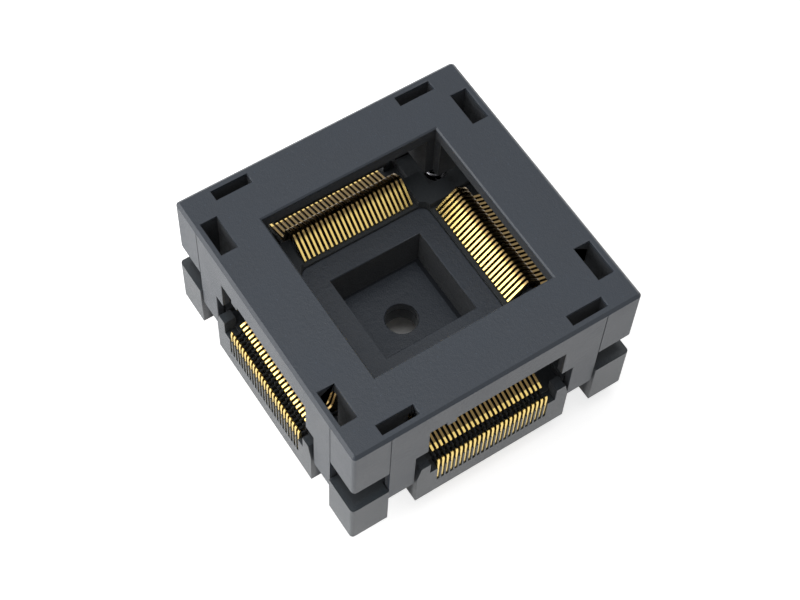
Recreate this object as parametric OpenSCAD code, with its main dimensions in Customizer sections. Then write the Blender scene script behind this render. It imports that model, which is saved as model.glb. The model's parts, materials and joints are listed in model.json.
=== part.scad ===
// Open-top test socket for a square flat-pack chip with gull-wing leads on four sides.
// Pressing the frame cover down turns the contact arms back, so that a chip drops in or lifts out.
// The drawing's z is 0 at the feet of the base; the whole part is lifted by the length of its tails.
// Places along a row are counted from its middle, and distances out from the centre of the socket.

/* [Contacts] */
// Distance between neighbouring contacts of a row
pitch = 0.5; // [0.42:0.01:0.6]
// Contacts on each side
per_side = 25; // [17:2:29]
// Thickness of the contact sheet
contact_t = 0.25; // [0.15:0.01:0.28]
// Play of a contact in its slot, both sides together
slot_play = 0.05; // [0.02:0.01:0.1]
// Width of the contact arm, seen from its side
arm_w = 0.42; // [0.3:0.01:0.5]
// Length of the arm's straight blade, from its tip up to the hook
blade_len = 2.4; // [2:0.1:2.8]
// Length of the arm's shank, down behind the hook
shank_len = 1.5; // [1.2:0.1:1.8]
// Length of the straight part of the lever
lever_len = 2.32; // [1.9:0.02:2.8]
// Height of the neck that the arm turns on, above the floor of the slots
pivot_rise = 3.9; // [3.2:0.1:4.6]
// Height of the contact's base bar
bar_h = 0.75; // [0.5:0.05:1]
// Length of the solder tails below the base
tail_len = 3; // [2:0.1:4]
// Width of a solder tail
tail_w = 0.44; // [0.3:0.02:0.6]
// Distance between the rows of tails
tail_step = 1.6; // [1:0.1:1.8]

/* [Nest] */
// How far the nest reaches past the middle of a row's last contact
nest_over = 1.25; // [1:0.05:1.5]
// Play of the nest in its well, one side
nest_play = 0.08; // [0.04:0.01:0.1]
// Wall beside the pocket, left and right
rim_x = 2.2; // [1.8:0.1:2.6]
// Wall beside the pocket, front and back
rim_y = 2.4; // [1.8:0.1:2.8]
// Thickness of the nest's floor
nest_floor = 1.1; // [0.8:0.1:2]
// Diameter of the hole through nest and base
hole_d = 3.3; // [2:0.1:4]

/* [Base] */
// Floor of the contact slots above the feet
slot_z = 2.1; // [1.7:0.05:2.5]
// Wall between the nest's well and the slots
well_wall = 1; // [0.8:0.05:1.2]
// Depth of the hollow under the base's floor
hollow_z = 0.5; // [0.2:0.05:0.9]
// Length of the cheek beside each end of a row
cheek_w = 2; // [1.6:0.05:2.4]
// Thickness of the outer comb
comb_t = 1.25; // [1:0.05:1.5]
// How far the base stands out past the cover
base_proud = 0.2; // [0.1:0.05:0.5]
// Radius of the corners of nest and well
well_corner_r = 1; // [0.5:0.1:1.5]

/* [Cover] */
// Downward travel of the cover
stroke = 2.5; // [2:0.1:3]
// Distance from the nest's well to the edge of the cover's window
window_out = 2.16; // [1.9:0.02:2.5]
// Thickness of the cover's top plate
plate_t = 1.6; // [1.2:0.05:2]
// Thickness of the skirt and the legs
skirt_t = 0.76; // [0.6:0.02:0.9]
// Height of the side windows
side_window_h = 3.88; // [3.2:0.02:4.6]
// Height between the side windows and the top plate
lintel_h = 1.83; // [1.5:0.01:2.2]
// Width of a latch leg
leg_w = 2.78; // [2.3:0.02:3.2]
// Height of the hook at the foot of a leg
hook_h = 1.22; // [1:0.02:1.4]
// Reach of the hooks under the base's ledge
hook_reach = 0.95; // [0.5:0.05:1.1]
// Radius of the upright corners of cover and base
corner_r = 0.4; // [0.2:0.05:1]
// Bevel along the cover's top edge
top_bevel = 0.3; // [0.1:0.05:0.6]
// Bevel along the window's top edge
window_bevel = 0.15; // [0.05:0.05:0.4]

/* [Springs] */
// Outer diameter of the springs
spring_d = 2; // [1.6:0.05:2.3]
// Wire of the springs
wire_d = 0.25; // [0.2:0.01:0.3]
// Turns of a spring
spring_turns = 12; // [8:1:14]
// Floor of the spring pockets in the base
spring_z = 1.2; // [0.8:0.1:2]

/* [Hidden] */

// Turn of each side about the centre: the front row is drawn, the others are copies
FRONT = 0;
RIGHT = FRONT + 90;
BACK = RIGHT + 90;
LEFT = BACK + 90;
SIDES = [FRONT, RIGHT, BACK, LEFT];
CORNERS = [[-1, -1], [1, -1], [-1, 1], [1, 1]];

// Cutters reach past what they cut by over, and joined solids overlap by eps
over = 1;
eps = 0.01;
arc_step = 20;
lift = tail_len;

// Places along a row
row_margin = 0.5;
leg_gap = 0.15;
run_gap = 0.12;
cheek_set = 0.05;
row_half = pitch * (per_side - 1) / 2;
row_end = row_half + row_margin;
frame_t = row_end + cheek_w;
comb_end = frame_t - cheek_set;
leg_in = comb_end + leg_gap;
leg_out = leg_in + leg_w;
post_in = leg_out + run_gap;
sill_w = 1.3;
side_window_t = leg_in - sill_w;
tab_w = 1;
tab_h = 0.6;
tab_from_end = 1.8;
tab_t = tab_from_end - side_window_t;
shoulder_from_row = 1;
shoulder_slope = 0.45;
shoulder_in = row_half + shoulder_from_row;
shoulder_out = comb_end - shoulder_slope;
slot_past_leg = [0.49, 0.53];
slot_t = [leg_in - slot_past_leg[0], leg_out + slot_past_leg[1]];

// Nest, well and the tips of the arms, outward from the centre
tip_from_well = 0.62;
tail_from_wall = 0.57;
nest_half = row_half + nest_over;
well_r = nest_half + nest_play;
slot_in = well_r + well_wall;
tip_r = well_r + tip_from_well;
tail_first = slot_in + tail_from_wall;
tail_rows = 4;

// Contact arm: the path of its middle line runs from the tip over the hook to the lever's end
tip_rise = 40;
crest_turn = -75;
crest_r = 0.3;
back_len = 0.75;
back_turn = -43;
back_r = 0.9;
hook_legs = [[blade_len, crest_turn, crest_r], [back_len, back_turn, back_r], [shank_len, 0, 0]];
hook_shape = concat([[[0, 0], tip_rise]], walk([0, 0], tip_rise, hook_legs));
shank_end = hook_shape[len(hook_shape) - 1];
neck_from_shank = [1.044, 1.511];
pivot = [tip_r + shank_end[0][0] - neck_from_shank[0], slot_z + pivot_rise];
tip_start = pivot - shank_end[0] + neck_from_shank;
hook = [for (s = hook_shape) [tip_start + s[0], s[1]]];
lever_turn = 56;
lever_r = 0.8;
lever_legs = [[0, lever_turn, lever_r], [lever_len, 0, 0]];
lever = walk(tip_start + shank_end[0], shank_end[1], lever_legs);
lever_bend = [for (i = [1 : len(lever) - 2]) lever[i]];
lever_start = lever[len(lever) - 2];
lever_tip = lever[len(lever) - 1];
nose = [0.28, 0.13];
nose_top = 0.14;
nose_foot = 0.18;
end_span = 60;
head_r = 0.22;
head_play = 0.02;
cradle_w = 0.2;
cradle_mid = 45;
cradle_span = 95;
neck_span = 25;

// Base and cover, outward from the neck that the arms turn on
frame_from_neck = 0.05;
rim_w = 0.85;
rim_slope = 0.6;
comb_from_lever = 0.12;
rib_from_lever = 1.46;
rib_w = 0.5;
rib_root = 1.1;
frame_r = pivot[0] - frame_from_neck;
rim_in = frame_r - rim_w;
comb_in = lever_tip[0][0] + comb_from_lever;
comb_h = comb_in + comb_t;
cover_h = comb_h - base_proud;
leg_r = cover_h - skirt_t;
ledge_r = leg_r - run_gap;
hook_r = leg_r - hook_reach;
channel_r = hook_r - run_gap;
rib_in = lever_tip[0][0] - rib_from_lever;

// Heights of the base, by the slots' floor, the neck and the tips
well_above_slot = 0.1;
wall_drop = 1;
comb_drop = 1.4;
deck_drop = 0.2;
shoulder_rise = 0.4;
shoulder_h = 1.9;
tip_gap = 0.2;
nest_drop = 0.2;
frame_rise = 0.8;
rim_drop = 0.1;
well_z = slot_z + well_above_slot;
pocket_z = well_z + nest_floor;
wall_z = pivot[1] - wall_drop;
comb_z = pivot[1] - comb_drop;
deck_z = pivot[1] - deck_drop;
shoulder_z = pivot[1] + shoulder_rise;
comb_end_z = shoulder_z - shoulder_h;
ledge_z = tip_start[1] - tip_gap;
nest_z = ledge_z - nest_drop;
frame_z = ledge_z + frame_rise;
rim_z = frame_z - rim_drop;

// Heights of the cover at rest, clear of the base by its stroke
board_gap = 1;
latch_gap = 0.05;
press_gap = 0.22;
skirt_step = 0.12;
hook_bevel = 0.55;
toe = [0.2, 0.3];
rib_gap = 0.25;
rib_foot_h = 1.65;
leg_z = stroke + board_gap;
hook_top = leg_z + hook_h;
latch_z = hook_top + latch_gap;
step_z = shoulder_z + stroke + press_gap;
skirt_z = step_z + skirt_step;
rib_z = pivot[1] + stroke + rib_gap;
rib_flare_z = rib_z + rib_foot_h;
side_window_z = step_z + side_window_h;
plate_z = side_window_z + lintel_h;
cover_top = plate_z + plate_t;
high = cover_top + over;

// Cover's window, corner blocks and slots
block_set = 0.11;
block_gap = 0.2;
side_slot_w = 1.72;
end_slot_w = 1.08;
seam_w = 0.1;
seam_d = 0.06;
window_h = well_r + window_out;
block_in = window_h + block_set;
block_t = frame_t + block_gap;

// Springs, midway between the window and the slots
spring_play = 0.15;
seat_gap = 0.02;
turn_gap = 0.03;
ring_steps = 12;
wire_sides = 6;
spring_at = (block_in + leg_r - side_slot_w) / 2;
spring_bore = spring_d + 2 * spring_play;
spring_foot = spring_z + wire_d / 2 + seat_gap;
spring_head = plate_z - wire_d / 2 - seat_gap;
closed_rise = wire_d + turn_gap;

// Fixed part of the contact
bar_gap = 0.25;
prong_w = 0.32;
prong_bevel = 0.1;
prong_set = 0.13;
prong_drop = 0.15;
stem_w = 0.42;
stem_from_neck = [0.32, 0.75];
head_from = -95;
head_to = 222;
tail_point = 0.35;
bar_in = slot_in + bar_gap;
slot_w = contact_t + slot_play;
prong_out = comb_h - prong_set;
prong_z = pivot[1] - prong_drop;
stem_r = pivot[0] - stem_from_neck[0];
stem_z = pivot[1] - stem_from_neck[1];

function unit(a) = [cos(a), sin(a)];
function left_of(a) = [-sin(a), cos(a)];
function arc(c, r, a0, a1) =
    let (n = max(2, ceil(abs(a1 - a0) / arc_step)))
    [for (i = [0 : n]) c + r * unit(a0 + (a1 - a0) * i / n)];

// One leg of a path: straight for its length, then a bend of the given angle and radius
function leg_points(p, a, leg) =
    let (
        q = p + leg[0] * unit(a),
        s = sign(leg[1]),
        c = q + s * leg[2] * left_of(a),
        n = ceil(abs(leg[1]) / arc_step)
    )
    [[q, a], for (i = [1 : 1 : n]) let (b = a + leg[1] * i / n) [c - s * leg[2] * left_of(b), b]];

function walk(p, a, legs, i = 0) =
    i == len(legs) ? []
    : let (pts = leg_points(p, a, legs[i]), e = pts[len(pts) - 1])
    concat(pts, walk(e[0], e[1], legs, i + 1));

function side_of(stations, d) = [for (s = stations) s[0] + d * left_of(s[1])];
function reversed(v) = [for (i = [len(v) - 1 : -1 : 0]) v[i]];

function arm_outline() =
    let (
        h = arm_w / 2,
        rim = head_r + head_play,
        out = rim + cradle_w,
        a = lever_tip[1]
    )
    concat(
        [tip_start + h * left_of(tip_rise) - nose_top * unit(tip_rise), tip_start - nose,
            tip_start - [nose_foot, h * cos(tip_rise)]],
        reversed(side_of([hook[0]], -h)),
        side_of([for (i = [1 : len(hook) - 1]) hook[i]], -h),
        arc(pivot, out, cradle_mid + neck_span, cradle_mid + cradle_span),
        arc(pivot, rim, cradle_mid + cradle_span, cradle_mid - cradle_span),
        arc(pivot, out, cradle_mid - cradle_span, cradle_mid - neck_span),
        side_of([lever_start, lever_tip], -h),
        arc(lever_tip[0], h, a - end_span, a + end_span),
        reversed(side_of(concat(hook, lever_bend, [lever_tip]), h))
    );

function contact_outline(tail_r) =
    let (
        bar_z = slot_z + seat_gap,
        top = bar_z + bar_h,
        w = tail_w / 2,
        foot = -tail_len,
        prong_in = prong_out - prong_w,
        sr = stem_r + stem_w / 2,
        sl = stem_r - stem_w / 2
    )
    concat(
        [[bar_in, bar_z], [tail_r - w, bar_z], [tail_r - w, foot + tail_point], [tail_r - w / 2, foot],
            [tail_r + w / 2, foot], [tail_r + w, foot + tail_point], [tail_r + w, bar_z],
            [prong_out, bar_z], [prong_out, prong_z - prong_w], [prong_out - prong_bevel, prong_z],
            [prong_in + prong_bevel, prong_z], [prong_in, prong_z - prong_w], [prong_in, top],
            [sr, top], [sr, stem_z]],
        arc(pivot, head_r, head_from, head_to),
        [[sl, stem_z], [sl, top], [bar_in, top]]
    );

function tail_at(k) = tail_first + k * tail_step;
function row_x(i) = (i - (per_side - 1) / 2) * pitch;

// Stands a profile drawn as (distance from the centre, height) in the plane x = at of the front row
module in_row(at, t, turn) {
    rotate(turn)
        translate([at - t / 2, 0, lift])
            rotate([90, 0, -90])
                mirror([0, 0, 1])
                    linear_extrude(t)
                        children();
}

// Extrudes a profile drawn as (along the row, height) from one distance to another
module along_row(from_r, to_r, turn) {
    rotate(turn)
        translate([0, -from_r, lift])
            rotate([90, 0, 0])
                linear_extrude(to_r - from_r)
                    children();
}

function rounded(h, r) =
    concat(arc([h - r, h - r], r, 0, 90), arc([r - h, h - r], r, 90, 180),
        arc([r - h, r - h], r, 180, 270), arc([h - r, r - h], r, 270, 360));

module upright(z0, z1) {
    translate([0, 0, lift + z0])
        linear_extrude(z1 - z0)
            children();
}

module rounded_block(h, r, z0, z1) {
    upright(z0, z1)
        polygon(rounded(h, r));
}

module square_block(hx, hy, z0, z1) {
    upright(z0, z1)
        square([2 * hx, 2 * hy], center = true);
}

// Square prism centred on each corner of a square with half width h
module corner_prisms(h, size, z0, z1) {
    for (c = CORNERS)
        upright(z0, z1)
            translate(h * c)
                square(2 * size, center = true);
}

module spring_bores(z0, z1) {
    for (c = CORNERS)
        translate([c[0] * spring_at, c[1] * spring_at, lift + z0])
            cylinder(h = z1 - z0, d = spring_bore, $fn = 48);
}

module centre_hole() {
    translate([0, 0, lift - over])
        cylinder(h = high, d = hole_d, $fn = 48);
}

module cover() {
    color([0.2, 0.21, 0.23])
        difference() {
            union() {
                cover_plate();
                cover_skirt();
                for (side = SIDES) {
                    corner_block(side);
                    cam_rib(side);
                    latch_legs(side);
                }
            }
            cover_window();
            cover_slots();
            spring_bores(skirt_z - over, plate_z);
            for (side = SIDES)
                corner_seams(side);
        }
}

module cover_plate() {
    hull() {
        rounded_block(cover_h, corner_r, plate_z, cover_top - top_bevel);
        rounded_block(cover_h - top_bevel, corner_r / 2, plate_z, cover_top);
    }
}

// Thin wall round the cover, open at the corners' feet and at the side windows
module cover_skirt() {
    difference() {
        rounded_block(cover_h, corner_r, step_z, plate_z + eps);
        square_block(leg_r, leg_r, step_z - over, plate_z + over);
        corner_prisms(cover_h, cover_h - leg_out, step_z - over, skirt_z);
        for (side = SIDES)
            side_window(side);
    }
}

module side_window(side) {
    w = side_window_t;
    difference() {
        along_row(leg_r - over, cover_h + over, side)
            polygon([[-leg_in, step_z - over], [-leg_in, step_z - eps], [-w, step_z - eps],
                [-w, side_window_z], [w, side_window_z], [w, step_z - eps], [leg_in, step_z - eps],
                [leg_in, step_z - over]]);
        along_row(leg_r - 2 * over, cover_h, side)
            translate([tab_t, side_window_z - tab_h])
                square([tab_w, tab_h + over]);
    }
}

// Solid corner beside the window, which holds the head of a spring
module corner_block(side) {
    out = leg_r + eps;
    upright(skirt_z, plate_z + eps)
        rotate(side)
            polygon([[block_in, block_t], [out, block_t], [out, out], [block_t, out], [block_t, block_in],
                [block_in, block_in]]);
}

// Fine seam down each end of a side, where the legs' mould met the corners'
module corner_seams(side) {
    along_row(cover_h - seam_d, cover_h + over, side)
        for (x = [-leg_out - seam_w, leg_out])
            translate([x, skirt_z - over])
                square([seam_w, cover_top - top_bevel - skirt_z + over]);
}

// Two legs a side, each with a hook that catches under the base's ledge
module latch_legs(side) {
    for (x = [leg_in, -leg_out])
        rotate(side)
            translate([x, 0, lift])
                rotate([90, 0, 90])
                    linear_extrude(leg_w)
                        polygon([[-cover_h, plate_z], [-cover_h, leg_z + toe[1]], [toe[0] - cover_h, leg_z],
                            [-hook_r - hook_bevel, leg_z], [-hook_r, leg_z + hook_bevel],
                            [-hook_r, hook_top], [-leg_r, hook_top], [-leg_r, plate_z]]);
}

// Rib that presses on the levers of a row
module cam_rib(side) {
    rotate(side)
        translate([-row_end, 0, lift])
            rotate([90, 0, 90])
                linear_extrude(2 * row_end)
                    polygon([[-rib_in, plate_z + eps], [-rib_in, rib_z], [-rib_in - rib_w, rib_z],
                        [-rib_in - rib_root, rib_flare_z], [-rib_in - rib_root, plate_z + eps]]);
}

module cover_window() {
    w = window_h + window_bevel;
    square_block(window_h, window_h, plate_z - over, high);
    hull() {
        square_block(window_h, window_h, cover_top - window_bevel, cover_top);
        square_block(w, w, cover_top, cover_top + eps);
    }
}

// Openings above the hooks
module cover_slots() {
    long = slot_t[1] - slot_t[0];
    mid = (slot_t[1] + slot_t[0]) / 2;
    for (c = CORNERS)
        upright(hook_top + eps, high) {
            translate([c[0] * (leg_r - side_slot_w / 2), c[1] * mid])
                square([side_slot_w, long], center = true);
            translate([c[0] * mid, c[1] * (leg_r - end_slot_w / 2)])
                square([long, end_slot_w], center = true);
        }
}

module base() {
    color([0.17, 0.18, 0.19])
        difference() {
            union() {
                difference() {
                    base_blocks();
                    for (side = SIDES)
                        lever_trench(side);
                }
                raised_frame();
                for (side = SIDES)
                    comb_block(side);
            }
            rounded_block(well_r, well_corner_r, well_z, high);
            square_block(well_r, well_r, -over, hollow_z);
            for (side = SIDES)
                for (i = [0 : per_side - 1])
                    contact_slot(i, side);
            spring_bores(spring_z, high);
            centre_hole();
        }
}

module base_blocks() {
    square_block(channel_r, channel_r, 0, deck_z);
    square_block(ledge_r, ledge_r, latch_z, deck_z);
    square_block(comb_in + eps, comb_end, 0, latch_z + eps);
    square_block(comb_end, comb_in + eps, 0, latch_z + eps);
    intersection() {
        rounded_block(comb_h, corner_r, 0, deck_z);
        corner_prisms(comb_h, comb_h - post_in, -over, high);
    }
}

// Clears the deck above the walls between the levers
module lever_trench(side) {
    along_row(frame_r - eps, ledge_r + over, side)
        translate([-comb_end, wall_z])
            square([2 * comb_end, high]);
}

module raised_frame() {
    difference() {
        union() {
            square_block(frame_r, frame_t, wall_z, frame_z);
            square_block(frame_t, frame_r, wall_z, frame_z);
        }
        for (side = SIDES)
            rotate(side)
                translate([-row_end, 0, lift])
                    rotate([90, 0, 90])
                        linear_extrude(2 * row_end)
                            polygon([[over - well_r, high], [over - well_r, ledge_z],
                                [rim_slope - rim_in, ledge_z], [-rim_in, rim_z],
                                [-frame_r - over, rim_z], [-frame_r - over, high]]);
    }
}

// Outer comb of a side, with a raised shoulder at each end
module comb_block(side) {
    along_row(comb_in, comb_h, side)
        polygon([[-comb_end, 0], [comb_end, 0], [comb_end, comb_end_z], [shoulder_out, shoulder_z],
            [shoulder_in, shoulder_z], [shoulder_in, comb_z], [-shoulder_in, comb_z],
            [-shoulder_in, shoulder_z], [-shoulder_out, shoulder_z], [-comb_end, comb_end_z]]);
}

module contact_slot(i, side) {
    tail_r = tail_at(i % tail_rows);
    w = (tail_w + slot_play) / 2;
    in_row(row_x(i), slot_w, side)
        polygon([[slot_in, high], [slot_in, slot_z], [tail_r - w, slot_z], [tail_r - w, -over],
            [tail_r + w, -over], [tail_r + w, slot_z], [comb_h + over, slot_z], [comb_h + over, high]]);
}

module ic_nest() {
    color([0.22, 0.23, 0.25])
        difference() {
            rounded_block(nest_half, well_corner_r, well_z, nest_z);
            square_block(nest_half - rim_x, nest_half - rim_y, pocket_z, high);
            centre_hole();
        }
}

module contacts(row, side) {
    color([0.85, 0.72, 0.36])
        for (i = [row : tail_rows : per_side - 1])
            in_row(row_x(i), contact_t, side)
                polygon(contact_outline(tail_at(row)));
}

module contact_arms(side) {
    color([0.92, 0.8, 0.45])
        for (i = [0 : per_side - 1])
            in_row(row_x(i), contact_t, side)
                polygon(arm_outline());
}

// Height of the coil after the given turns, with a closed turn at each end
function coil_z(turns) =
    let (open_rise = (spring_head - spring_foot - 2 * closed_rise) / (spring_turns - 2))
    turns < 1 ? spring_foot + turns * closed_rise
    : turns > spring_turns - 1 ? spring_head - (spring_turns - turns) * closed_rise
    : spring_foot + closed_rise + (turns - 1) * open_rise;

function coil_ring(turns) =
    let (a = 360 * turns, c = (spring_d - wire_d) / 2)
    [for (k = [0 : wire_sides - 1])
        let (b = 360 * k / wire_sides, r = c + wire_d / 2 * cos(b))
        [r * cos(a), r * sin(a), coil_z(turns) + wire_d / 2 * sin(b)]];

module spring(sx, sy) {
    n = ring_steps * spring_turns;
    points = [for (i = [0 : n]) each coil_ring(i / ring_steps)];
    skin = [for (i = [0 : n - 1]) for (k = [0 : wire_sides - 1])
        let (a = i * wire_sides + k, b = i * wire_sides + (k + 1) % wire_sides)
        [a, a + wire_sides, b + wire_sides, b]];
    ends = [[for (k = [0 : wire_sides - 1]) k],
        [for (k = [wire_sides - 1 : -1 : 0]) n * wire_sides + k]];
    color([0.75, 0.76, 0.78])
        translate([sx * spring_at, sy * spring_at, lift])
            polyhedron(points, concat(skin, ends));
}

base();
ic_nest();
cover();
spring(-1, -1);  // front_left_spring
spring(1, -1);  // front_right_spring
spring(-1, 1);  // back_left_spring
spring(1, 1);  // back_right_spring
contact_arms(FRONT);  // front_contact_arms
contact_arms(RIGHT);  // right_contact_arms
contact_arms(BACK);  // back_contact_arms
contact_arms(LEFT);  // left_contact_arms
contacts(0, FRONT);  // front_contacts_a
contacts(1, FRONT);  // front_contacts_b
contacts(2, FRONT);  // front_contacts_c
contacts(3, FRONT);  // front_contacts_d
contacts(0, RIGHT);  // right_contacts_a
contacts(1, RIGHT);  // right_contacts_b
contacts(2, RIGHT);  // right_contacts_c
contacts(3, RIGHT);  // right_contacts_d
contacts(0, BACK);  // back_contacts_a
contacts(1, BACK);  // back_contacts_b
contacts(2, BACK);  // back_contacts_c
contacts(3, BACK);  // back_contacts_d
contacts(0, LEFT);  // left_contacts_a
contacts(1, LEFT);  // left_contacts_b
contacts(2, LEFT);  // left_contacts_c
contacts(3, LEFT);  // left_contacts_d
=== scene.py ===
"""Looks of an open-top test socket for a square flat-pack chip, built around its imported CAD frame."""
import json
import math

import bmesh
import bpy
from bpy.props import FloatProperty, FloatVectorProperty, IntProperty, PointerProperty
from mathutils import Matrix, Vector

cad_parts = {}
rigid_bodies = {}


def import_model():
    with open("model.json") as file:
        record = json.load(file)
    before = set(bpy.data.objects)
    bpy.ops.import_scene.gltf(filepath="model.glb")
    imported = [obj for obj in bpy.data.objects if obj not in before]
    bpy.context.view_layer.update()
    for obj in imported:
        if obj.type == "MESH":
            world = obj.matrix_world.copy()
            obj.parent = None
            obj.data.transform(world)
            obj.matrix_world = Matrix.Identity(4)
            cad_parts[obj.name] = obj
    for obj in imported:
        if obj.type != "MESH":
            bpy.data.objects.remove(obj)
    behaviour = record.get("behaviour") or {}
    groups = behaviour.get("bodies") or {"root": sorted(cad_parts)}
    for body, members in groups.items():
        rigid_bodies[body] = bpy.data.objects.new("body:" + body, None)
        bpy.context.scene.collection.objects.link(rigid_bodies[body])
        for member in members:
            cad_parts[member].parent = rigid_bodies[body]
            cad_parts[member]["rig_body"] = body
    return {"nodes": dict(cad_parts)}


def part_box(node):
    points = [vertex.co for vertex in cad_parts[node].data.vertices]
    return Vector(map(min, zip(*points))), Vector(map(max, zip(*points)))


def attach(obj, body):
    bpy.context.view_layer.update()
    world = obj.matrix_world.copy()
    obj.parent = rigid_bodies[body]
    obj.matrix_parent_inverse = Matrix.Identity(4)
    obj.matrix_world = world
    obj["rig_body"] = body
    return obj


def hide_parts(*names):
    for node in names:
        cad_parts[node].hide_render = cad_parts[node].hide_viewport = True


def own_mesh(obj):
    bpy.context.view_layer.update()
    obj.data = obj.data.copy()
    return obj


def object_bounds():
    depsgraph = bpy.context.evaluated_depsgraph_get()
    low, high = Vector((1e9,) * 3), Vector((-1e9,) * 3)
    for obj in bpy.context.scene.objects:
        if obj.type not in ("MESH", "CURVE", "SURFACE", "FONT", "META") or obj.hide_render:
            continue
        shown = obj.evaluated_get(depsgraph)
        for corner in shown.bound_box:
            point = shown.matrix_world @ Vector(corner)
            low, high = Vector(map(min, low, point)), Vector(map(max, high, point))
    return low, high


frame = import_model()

bl_info = {
    "name": "Chip Test Socket",
    "version": (1, 0, 0),
    "blender": (4, 5, 0),
    "location": "3D View > Sidebar > Socket",
    "description": "Finishes the moulded and stamped pieces of a chip test socket and sets its stage",
    "category": "Object",
}

MM = 0.001
SIDES = ("front", "right", "back", "left")
TAIL_ROWS = ("a", "b", "c", "d")
SPRINGS = ("front_left_spring", "front_right_spring", "back_left_spring", "back_right_spring")
PITCH = 0.5 * MM
CAD_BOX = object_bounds()
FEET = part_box("base")[0].z


class SocketSizes(bpy.types.PropertyGroup):
    """Small sizes that the finish adds to the solids"""

    cover_edge: FloatProperty(
        name="Cover edge", description="Width of the softened edges of the cover",
        default=0.07 * MM, min=0.02 * MM, max=0.1 * MM, subtype="DISTANCE")
    base_edge: FloatProperty(
        name="Base edge", description="Width of the softened edges of the base",
        default=0.07 * MM, min=0.02 * MM, max=0.1 * MM, subtype="DISTANCE")
    nest_edge: FloatProperty(
        name="Nest edge", description="Width of the softened edges of the nest plate",
        default=0.07 * MM, min=0.02 * MM, max=0.1 * MM, subtype="DISTANCE")
    contact_edge: FloatProperty(
        name="Contact edge", description="Width of the tumbled edges of the stamped contacts",
        default=0.02 * MM, min=0.005 * MM, max=0.03 * MM, subtype="DISTANCE")
    wire: FloatProperty(
        name="Spring wire", description="Diameter of the wire of the coil springs",
        default=0.25 * MM, min=0.15 * MM, max=0.3 * MM, subtype="DISTANCE")
    turns: IntProperty(
        name="Spring turns", description="Turns of a coil spring, with the closed one at each end",
        default=12, min=6, max=14)
    grain: FloatProperty(
        name="Mould grain", description="Size of the fine grain on the moulded faces",
        default=0.11 * MM, min=0.03 * MM, max=0.5 * MM, subtype="DISTANCE")


class SocketColours(bpy.types.PropertyGroup):
    """Colours of the finishes"""

    cover: FloatVectorProperty(
        name="Cover", description="Moulded plastic of the cover", subtype="COLOR", size=3,
        default=(0.012, 0.019, 0.03), min=0, max=1)
    base: FloatVectorProperty(
        name="Base", description="Moulded plastic of the base", subtype="COLOR", size=3,
        default=(0.013, 0.019, 0.025), min=0, max=1)
    nest: FloatVectorProperty(
        name="Nest", description="Moulded plastic of the nest plate", subtype="COLOR", size=3,
        default=(0.012, 0.018, 0.028), min=0, max=1)
    gold: FloatVectorProperty(
        name="Gold", description="Plating of the contacts", subtype="COLOR", size=3,
        default=(0.93, 0.69, 0.23), min=0, max=1)
    # painted shade: the steel is set darker than bright steel, so the springs deep under the cover show no bright
    # ring
    steel: FloatVectorProperty(
        name="Steel", description="Wire of the springs", subtype="COLOR", size=3,
        default=(0.28, 0.28, 0.3), min=0, max=1)
    floor: FloatVectorProperty(
        name="Floor", description="Pale floor under the socket", subtype="COLOR", size=3,
        default=(0.8, 0.8, 0.8), min=0, max=1)


class SocketView(bpy.types.PropertyGroup):
    """The photograph's view of the socket, solved from its edges"""

    azimuth: FloatProperty(
        name="Azimuth", description="Turn of the view about the upright axis",
        default=math.radians(-36.37), subtype="ANGLE")
    elevation: FloatProperty(
        name="Elevation", description="Height of the view above the horizon",
        default=math.radians(60.27), subtype="ANGLE")
    roll: FloatProperty(
        name="Roll", description="Lean of the camera about its own axis",
        default=math.radians(3.8), subtype="ANGLE")
    distance: FloatProperty(
        name="Distance", description="Distance from the feet's centre along the view",
        default=176.41 * MM, subtype="DISTANCE")
    aside: FloatProperty(
        name="Aside", description="Sideways place of the camera", default=-0.27 * MM, subtype="DISTANCE")
    above: FloatProperty(
        name="Above", description="Upward place of the camera", default=3.41 * MM, subtype="DISTANCE")
    lens: FloatProperty(
        name="Lens", description="Focal length in millimetres on a 36 mm sensor", default=81.08)


class Wire:
    """A value in a material: arithmetic on it adds Math nodes."""

    def __init__(self, finish, socket):
        self.finish = finish
        self.socket = socket

    def math(self, operation, *values):
        return self.finish.node("ShaderNodeMath", {"operation": operation}, dict(enumerate(values)))

    def __add__(self, other):
        return self.math("ADD", self, other)

    def __sub__(self, other):
        return self.math("SUBTRACT", self, other)

    def __rsub__(self, other):
        return self.math("SUBTRACT", other, self)

    def __mul__(self, other):
        return self.math("MULTIPLY", self, other)

    def __truediv__(self, other):
        return self.math("DIVIDE", self, other)

    def __gt__(self, other):
        return self.math("GREATER_THAN", self, other)

    def rounded(self):
        return self.math("ROUND", self)

    def above(self, start, width):
        """0 below start, 1 above start + width, smooth between"""
        settings = {"interpolation_type": "SMOOTHSTEP"}
        return self.finish.node("ShaderNodeMapRange", settings, {0: self, 1: start, 2: start + width})

    __radd__ = __add__
    __rmul__ = __mul__


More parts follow.
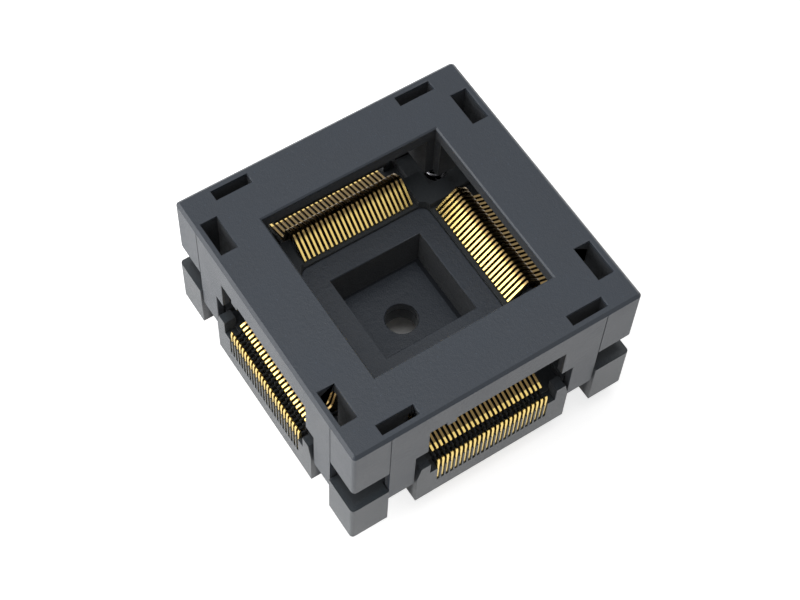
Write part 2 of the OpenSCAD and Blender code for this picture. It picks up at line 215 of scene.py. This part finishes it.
class Finish:
    """A material with one surface shader, whose patterns lie on object coordinates."""

    def __init__(self, name):
        self.material = bpy.data.materials.new(name)
        self.material.use_nodes = True
        self.tree = self.material.node_tree
        self.tree.nodes.clear()
        self.place = self.node("ShaderNodeTexCoord", output="Object")

    def node(self, kind, settings=None, values=None, output=0):
        """Adds a node: its settings first, then the values or wires of its inputs."""
        made = self.tree.nodes.new(kind)
        for name, value in (settings or {}).items():
            setattr(made, name, value)
        for name, value in (values or {}).items():
            if isinstance(value, Wire):
                self.tree.links.new(value.socket, made.inputs[name])
            else:
                made.inputs[name].default_value = value
        return Wire(self, made.outputs[output])

    def axes(self):
        """The three object coordinates"""
        split = self.tree.nodes.new("ShaderNodeSeparateXYZ")
        self.tree.links.new(self.place.socket, split.inputs[0])
        return [Wire(self, output) for output in split.outputs]

    def aside_and_height(self):
        """Distance from the upright middle, measured square, and height above the floor"""
        x, y, z = self.axes()
        return x.math("MAXIMUM", x.math("ABSOLUTE", x), y.math("ABSOLUTE", y)), z

    def noise(self, size, detail=2.0, roughness=0.5, distortion=0.0):
        """Noise from 0 to 1 whose spots are about size metres across"""
        return self.node("ShaderNodeTexNoise", None, {
            "Vector": self.place, "Scale": 1 / size, "Detail": detail,
            "Roughness": roughness, "Distortion": distortion})

    def specks(self, spacing, share):
        """1 in small spots that lie about spacing metres apart, 0 elsewhere"""
        cells = self.tree.nodes.new("ShaderNodeTexVoronoi")
        cells.inputs["Scale"].default_value = 1 / spacing
        self.tree.links.new(self.place.socket, cells.inputs["Vector"])
        near = Wire(self, cells.outputs["Distance"])
        chance = self.node("ShaderNodeSeparateColor", None, {0: Wire(self, cells.outputs["Color"])})
        return (1 - near.above(share * 0.6, share * 0.4)) * (chance > 0.55)

    def mixed(self, factor, first, second):
        """The colour between first and second at factor"""
        return self.node("ShaderNodeMix", {"data_type": "RGBA"}, {
            0: factor, 6: opaque(first), 7: opaque(second)}, output=2)

    def bumped(self, height, depth, normal=None):
        """Normal for a height from 0 to 1 that stands for depth metres"""
        values = {"Height": height, "Strength": 1.0, "Distance": depth}
        if normal is not None:
            values["Normal"] = normal
        return self.node("ShaderNodeBump", None, values)

    def surface(self, **sockets):
        """Ends the material in a Principled shader with the given sockets"""
        values = {name.replace("_", " ").title().replace("Ior", "IOR"): value for name, value in sockets.items()}
        shader = self.node("ShaderNodeBsdfPrincipled", None, values)
        self.tree.links.new(shader.socket, self.node_input("ShaderNodeOutputMaterial", "Surface"))
        return self.material

    def node_input(self, kind, name):
        return self.tree.nodes.new(kind).inputs[name]


def opaque(colour):
    """A colour with full alpha, or the wire as it is"""
    return colour if isinstance(colour, Wire) else (*colour, 1.0)


def toned(colour, factor):
    return tuple(channel * factor for channel in colour)


def moulded_plastic(name, colour, grain, rough, sheen, speckle, inside_dull_and_shaded):
    """Glass-filled black plastic: cloudy tone, fine mould grain, pale fibre specks and a dry sheen.
    The last argument, given aside and height, is 1 on the inner faces, which it makes rougher and darkens with
    painted shade."""
    finish = Finish(name)
    dull_and_shaded = inside_dull_and_shaded(*finish.aside_and_height())
    clouds = finish.noise(4.5 * MM, detail=3.0, roughness=0.6)
    fine = finish.noise(grain, detail=3.0, roughness=0.65)
    pits = finish.noise(grain * 3.2, detail=2.0)
    fibres = finish.specks(0.62 * MM, 0.14)
    tone = (clouds - 0.5) * 0.5 + (fine - 0.5) * speckle + 0.5
    colour_now = finish.mixed(tone, toned(colour, 0.8), toned(colour, 1.25))
    colour_now = finish.mixed(fibres * 0.35, colour_now, toned(colour, 3.2))
    # painted shade: the inner faces are darkened towards 0.15 of the colour, standing in for the shade inside the
    # socket
    colour_now = finish.mixed(dull_and_shaded * 0.7, colour_now, toned(colour, 0.15))
    normal = finish.bumped(fine, grain * 0.26)
    normal = finish.bumped(pits, grain * 0.22, normal)
    return finish.surface(
        base_color=colour_now,
        roughness=(clouds - 0.5) * 0.14 + (fine - 0.5) * 0.12 + dull_and_shaded * 0.4 + rough,
        normal=normal,
        specular_ior_level=0.5,
        sheen_weight=sheen,
        sheen_roughness=0.45,
        sheen_tint=(0.93, 0.96, 1.0, 1.0),
    )


def gold_plate(name, colour, along):
    """Plated spring alloy: each contact of a row has its own tone, with rolling marks along the strip,
    and is painted dark brown between its arm and its end, a painted shade where the cover lies over it"""
    finish = Finish(name)
    number = (finish.axes()["XY".index(along)] / PITCH).rounded()
    own = finish.node("ShaderNodeTexWhiteNoise", {"noise_dimensions": "1D"}, {"W": number})
    film = finish.noise(0.5 * MM, detail=2.0)
    marks = finish.noise(0.05 * MM, detail=2.0, roughness=0.6)
    colour_now = finish.mixed(own * 0.6 + film * 0.4, toned(colour, 0.86), colour)
    aside, _ = finish.aside_and_height()
    # painted shade: from past the window's edge to just short of its end the strip turns dark brown
    shaded_under_cover = aside.above(9.1 * MM, 0.5 * MM) * (1 - aside.above(13.75 * MM, 0.1 * MM))
    colour_now = finish.mixed(shaded_under_cover * 0.9, colour_now, (0.13, 0.085, 0.04))
    return finish.surface(
        base_color=colour_now,
        metallic=1.0,
        roughness=own * 0.07 + marks * 0.1 + 0.2,
        normal=finish.bumped(marks, 0.004 * MM),
    )


def spring_wire(name, colour):
    """Drawn steel wire, toned dark grey as painted shade"""
    finish = Finish(name)
    marks = finish.noise(0.06 * MM, detail=2.0)
    return finish.surface(
        base_color=finish.mixed(marks, toned(colour, 0.85), colour),
        metallic=1.0,
        roughness=marks * 0.12 + 0.22,
        normal=finish.bumped(marks, 0.003 * MM),
    )


def pale_floor(name, colour):
    """Plain floor that is white to the eye and in reflections, with a painted shadow where its glow fades out under
    the socket, over the socket's own shadow
    """
    finish = Finish(name)
    rays = finish.tree.nodes.new("ShaderNodeLightPath")
    seen = Wire(finish, rays.outputs["Is Camera Ray"]) + Wire(finish, rays.outputs["Is Glossy Ray"])
    # painted shadow: the glow fades out between 2 mm and 8 mm inside the socket's outer edge, so the floor under it
    # goes dark
    clear_of_painted_shadow = finish.aside_and_height()[0].above(CAD_BOX[1].x - 8 * MM, 6 * MM)
    matt = finish.node("ShaderNodeBsdfDiffuse", None, {"Color": opaque(colour)})
    glow = finish.node("ShaderNodeEmission", None, {"Color": (1, 1, 1, 1), "Strength": seen * clear_of_painted_shadow * 0.75})
    both = finish.node("ShaderNodeAddShader", None, {0: matt, 1: glow})
    finish.tree.links.new(both.socket, finish.node_input("ShaderNodeOutputMaterial", "Surface"))
    return finish.material


def solid_copy(node):
    """A welded copy of a CAD node's mesh, with its flat faces whole"""
    bm = bmesh.new()
    bm.from_mesh(frame["nodes"][node].data)
    bmesh.ops.remove_doubles(bm, verts=bm.verts, dist=0.0005 * MM)
    bmesh.ops.dissolve_limit(bm, angle_limit=math.radians(0.6), verts=bm.verts, edges=bm.edges)
    return bm


def finished(bm, name, material, node):
    """Makes the piece that stands for a CAD node, riding on the node's body"""
    mesh = bpy.data.meshes.new(name)
    bm.to_mesh(mesh)
    bm.free()
    if "custom_normal" in mesh.attributes:
        mesh.attributes.remove(mesh.attributes["custom_normal"])
    piece = bpy.data.objects.new(name, mesh)
    bpy.context.scene.collection.objects.link(piece)
    mesh.materials.append(material)
    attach(piece, frame["nodes"][node]["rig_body"])
    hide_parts(node)
    return piece


def soften(bm, width, fine_width, is_fine):
    """Weighs the sharp outer edges for the bevel: the fine ones get a narrower one, short ones none"""
    weight = bm.edges.layers.float.new("bevel_weight_edge")
    for edge in bm.edges:
        if len(edge.link_faces) != 2 or not edge.is_convex or edge.calc_face_angle() < math.radians(50):
            continue
        wanted = fine_width if is_fine((edge.verts[0].co + edge.verts[1].co) / 2) else width
        if shortest_beside(edge) > 2.2 * wanted:
            edge[weight] = wanted / width


def shortest_beside(edge):
    """Length of the edge, or of the shortest one that it meets"""
    return min(other.calc_length() for vert in edge.verts for other in vert.link_edges)


def bevelled(piece, width, segments=2):
    """Bevels the weighed edges and shades the flat faces flat"""
    bevel = piece.modifiers.new("soft edges", "BEVEL")
    bevel.limit_method = "WEIGHT"
    bevel.offset_type = "OFFSET"
    bevel.width = width
    bevel.segments = segments
    bevel.use_clamp_overlap = False
    bevel.miter_outer = "MITER_SHARP"
    piece.data.shade_smooth()
    piece.data.set_sharp_from_angle(angle=math.radians(35))
    normals = piece.modifiers.new("flat faces", "WEIGHTED_NORMAL")
    normals.keep_sharp = True
    return piece


class SOCKET_OT_cover(bpy.types.Operator):
    """Finishes the pressed cover with its skirt, legs and ribs"""

    bl_idname = "socket.cover"
    bl_label = "Cover"

    def execute(self, context):
        sizes, colours = context.scene.socket_sizes, context.scene.socket_colours
        bm = solid_copy("cover")
        soften(bm, sizes.cover_edge, sizes.cover_edge, lambda at: False)
        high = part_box("cover")[1]
        plastic = moulded_plastic(
            "cover plastic", colours.cover, sizes.grain, 0.42, 0.14, 0.9,
            # painted shade mask: inside the cover's outer walls and below its top face, made rougher and darker
            lambda aside, height: (1 - aside.above(high.x - 0.3 * MM, 0.1 * MM))
            * (1 - height.above(high.z - 0.4 * MM, 0.1 * MM)))
        piece = finished(bm, "cover_moulding", plastic, "cover")
        bevelled(piece, sizes.cover_edge)
        return {"FINISHED"}


class SOCKET_OT_base(bpy.types.Operator):
    """Finishes the base with its posts, combs and slots"""

    bl_idname = "socket.base"
    bl_label = "Base"

    def execute(self, context):
        sizes, colours = context.scene.socket_sizes, context.scene.socket_colours
        bm = solid_copy("base")
        fine = sizes.base_edge * 0.3
        soften(bm, sizes.base_edge, fine, in_contact_row)
        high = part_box("base")[1]
        plastic = moulded_plastic(
            "base plastic", colours.base, sizes.grain, 0.4, 0.2, 0.9,
            # painted shade mask: the base inward of its outer walls, made rougher and darker
            lambda aside, height: (1 - aside.above(high.x - 0.9 * MM, 0.6 * MM)) * 0.8)
        piece = finished(bm, "base_moulding", plastic, "base")
        bevelled(piece, sizes.base_edge)
        return {"FINISHED"}


def in_contact_row(at):
    """True at an edge between or beside the contacts"""
    along, out = sorted((abs(at.x), abs(at.y)))
    return along < 8.6 * MM and out < 15.6 * MM


class SOCKET_OT_nest(bpy.types.Operator):
    """Finishes the nest plate with the chip's pocket"""

    bl_idname = "socket.nest"
    bl_label = "Nest"

    def execute(self, context):
        sizes, colours = context.scene.socket_sizes, context.scene.socket_colours
        bm = solid_copy("ic_nest")
        soften(bm, sizes.nest_edge, sizes.nest_edge, lambda at: False)
        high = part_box("ic_nest")[1]
        plastic = moulded_plastic(
            "nest plastic", colours.nest, sizes.grain * 1.4, 0.55, 0.2, 1.4,
            # painted shade mask: the nest plate outside its pocket and below its top, under the cover, made rougher
            # and darker
            lambda aside, height: aside.above(4.6 * MM, 0.05 * MM)
            * (1 - height.above(high.z - 0.2 * MM, 0.05 * MM)))
        piece = finished(bm, "nest_plate", plastic, "ic_nest")
        bevelled(piece, sizes.nest_edge)
        return {"FINISHED"}


class SOCKET_OT_springs(bpy.types.Operator):
    """Winds the four coil springs under the cover"""

    bl_idname = "socket.springs"
    bl_label = "Springs"

    def execute(self, context):
        sizes, colours = context.scene.socket_sizes, context.scene.socket_colours
        steel = spring_wire("spring steel", colours.steel)
        for node in SPRINGS:
            low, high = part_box(node)
            piece = finished(coil(low, high, sizes.wire, sizes.turns), node + "_wire", steel, node)
            piece.data.shade_smooth()
            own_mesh(piece)
        return {"FINISHED"}


def coil(low, high, wire, turns):
    """A wire ring swept round: a closed turn, the open turns, a closed turn"""
    steps, sides = 20, 10
    middle = (low + high) / 2
    rise_closed = wire * 1.1
    rise_open = (high.z - low.z - wire - 2 * rise_closed) / (turns - 2)
    bm = bmesh.new()
    ring = bmesh.ops.create_circle(bm, cap_ends=True, segments=sides, radius=wire / 2)
    stand = Matrix.Translation((high.x - wire / 2, middle.y, low.z + wire / 2)) @ Matrix.Rotation(math.pi / 2, 4, "X")
    bmesh.ops.transform(bm, matrix=stand, verts=ring["verts"])
    section = list(bm.faces)
    for count, rise in ((1, rise_closed), (turns - 2, rise_open), (1, rise_closed)):
        swept = bmesh.ops.spin(
            bm, geom=section, cent=middle, axis=(0, 0, 1), dvec=(0, 0, rise / steps),
            angle=math.tau * count, steps=steps * count, use_merge=False)
        section = [g for g in swept["geom_last"] if isinstance(g, bmesh.types.BMFace)]
    bmesh.ops.remove_doubles(bm, verts=bm.verts, dist=0.0005 * MM)
    bmesh.ops.recalc_face_normals(bm, faces=bm.faces)
    return bm


class SOCKET_OT_contacts(bpy.types.Operator):
    """Finishes the contact arms and the fixed contacts with their tails"""

    bl_idname = "socket.contacts"
    bl_label = "Contacts"

    def execute(self, context):
        sizes, colours = context.scene.socket_sizes, context.scene.socket_colours
        gold = {along: gold_plate("gold plate " + along, colours.gold, along) for along in ("X", "Y")}
        for side in SIDES:
            plating = gold["X" if side in ("front", "back") else "Y"]
            parts = [(side + "_contact_arms", "contact_arm")]
            parts += [(side + "_contacts_" + row, "contact") for row in TAIL_ROWS]
            for node, slot in parts:
                bm = solid_copy(node)
                soften(bm, sizes.contact_edge, sizes.contact_edge, lambda at: False)
                piece = finished(bm, node + "_plated", plating, node)
                bevelled(piece, sizes.contact_edge)
        return {"FINISHED"}


class SOCKET_OT_stage(bpy.types.Operator):
    """Sets the pale floor, the soft lamps and the camera"""

    bl_idname = "socket.stage"
    bl_label = "Stage"

    def execute(self, context):
        scene = context.scene
        floor_plane(scene)
        soft_lamps(scene)
        pale_world(scene)
        photo_camera(scene)
        scene.view_settings.view_transform = "Standard"
        return {"FINISHED"}


def floor_plane(scene):
    """A wide floor at the ends of the solder tails"""
    bm = bmesh.new()
    bmesh.ops.create_grid(bm, x_segments=2, y_segments=2, size=1.5)
    mesh = bpy.data.meshes.new("floor")
    bm.to_mesh(mesh)
    bm.free()
    bmesh_floor = bpy.data.objects.new("floor", mesh)
    mesh.transform(Matrix.Translation((0, 0, CAD_BOX[0].z)))
    mesh.materials.append(pale_floor("pale floor", scene.socket_colours.floor))
    scene.collection.objects.link(bmesh_floor)


def soft_lamps(scene):
    """One broad lamp at the left and a weaker one above"""
    lamps = (
        ("left lamp", (-0.45, 0.24, 0.2), 0.55, 3.4),
        ("top lamp", (-0.05, 0.02, 0.6), 0.4, 1.4),
    )
    for name, place, width, power in lamps:
        data = bpy.data.lights.new(name, "AREA")
        data.shape = "SQUARE"
        data.size = width
        data.energy = power
        lamp = bpy.data.objects.new(name, data)
        lamp.location = place
        lamp.rotation_euler = (-Vector(place)).to_track_quat("-Z", "Y").to_euler()
        lamp.visible_camera = False
        scene.collection.objects.link(lamp)


def pale_world(scene):
    """Even pale surroundings, white to the eye"""
    world = bpy.data.worlds.new("pale surroundings")
    world.use_nodes = True
    nodes, links = world.node_tree.nodes, world.node_tree.links
    nodes.clear()
    rays = nodes.new("ShaderNodeLightPath")
    level = nodes.new("ShaderNodeMapRange")
    level.inputs["To Min"].default_value = 0.15
    level.inputs["To Max"].default_value = 1.0
    seen = nodes.new("ShaderNodeMath")
    seen.operation = "MAXIMUM"
    links.new(rays.outputs["Is Camera Ray"], seen.inputs[0])
    links.new(rays.outputs["Is Glossy Ray"], seen.inputs[1])
    links.new(seen.outputs[0], level.inputs["Value"])
    sky = nodes.new("ShaderNodeBackground")
    sky.inputs["Color"].default_value = (1, 1, 1, 1)
    links.new(level.outputs["Result"], sky.inputs["Strength"])
    links.new(sky.outputs["Background"], nodes.new("ShaderNodeOutputWorld").inputs["Surface"])
    scene.world = world


def photo_camera(scene):
    """The camera at the photograph's viewing angle"""
    view = scene.socket_view
    a, e, r = view.azimuth, view.elevation, view.roll
    back = Vector((math.sin(a) * math.cos(e), -math.cos(a) * math.cos(e), math.sin(e)))
    right = Vector((math.cos(a), math.sin(a), 0))
    up = back.cross(right)
    place = back * view.distance + right * view.aside + up * view.above + Vector((0, 0, FEET))
    leaning_right = right * math.cos(r) + up * math.sin(r)
    leaning_up = up * math.cos(r) - right * math.sin(r)
    data = bpy.data.cameras.new("photo camera")
    data.lens = view.lens
    data.sensor_width = 36
    data.clip_start, data.clip_end = 10 * MM, 10
    camera = bpy.data.objects.new("photo camera", data)
    turn = Matrix((leaning_right, leaning_up, back)).transposed().to_4x4()
    camera.matrix_world = Matrix.Translation(place) @ turn
    scene.collection.objects.link(camera)
    scene.camera = camera


OPERATORS = (SOCKET_OT_cover, SOCKET_OT_base, SOCKET_OT_nest, SOCKET_OT_springs, SOCKET_OT_contacts,
             SOCKET_OT_stage)


class SOCKET_PT_panel(bpy.types.Panel):
    """Lists the socket's sizes, colours, view and steps"""

    bl_label = "Chip Test Socket"
    bl_idname = "SOCKET_PT_panel"
    bl_space_type = "VIEW_3D"
    bl_region_type = "UI"
    bl_category = "Socket"

    def draw(self, context):
        for group in (context.scene.socket_sizes, context.scene.socket_colours, context.scene.socket_view):
            column = self.layout.column(align=True)
            for name in type(group).__annotations__:
                column.prop(group, name)
        for operator in OPERATORS:
            self.layout.operator(operator.bl_idname)


GROUPS = (("socket_sizes", SocketSizes), ("socket_colours", SocketColours), ("socket_view", SocketView))
CLASSES = (*(group for _, group in GROUPS), *OPERATORS, SOCKET_PT_panel)


def register():
    for cls in CLASSES:
        bpy.utils.register_class(cls)
    for name, group in GROUPS:
        setattr(bpy.types.Scene, name, PointerProperty(type=group))


def unregister():
    for name, _ in GROUPS:
        delattr(bpy.types.Scene, name)
    for cls in reversed(CLASSES):
        bpy.utils.unregister_class(cls)


def main():
    register()
    bpy.ops.socket.stage()
    bpy.ops.socket.cover()
    bpy.ops.socket.base()
    bpy.ops.socket.nest()
    bpy.ops.socket.springs()
    bpy.ops.socket.contacts()


if __name__ == "__main__":
    main()
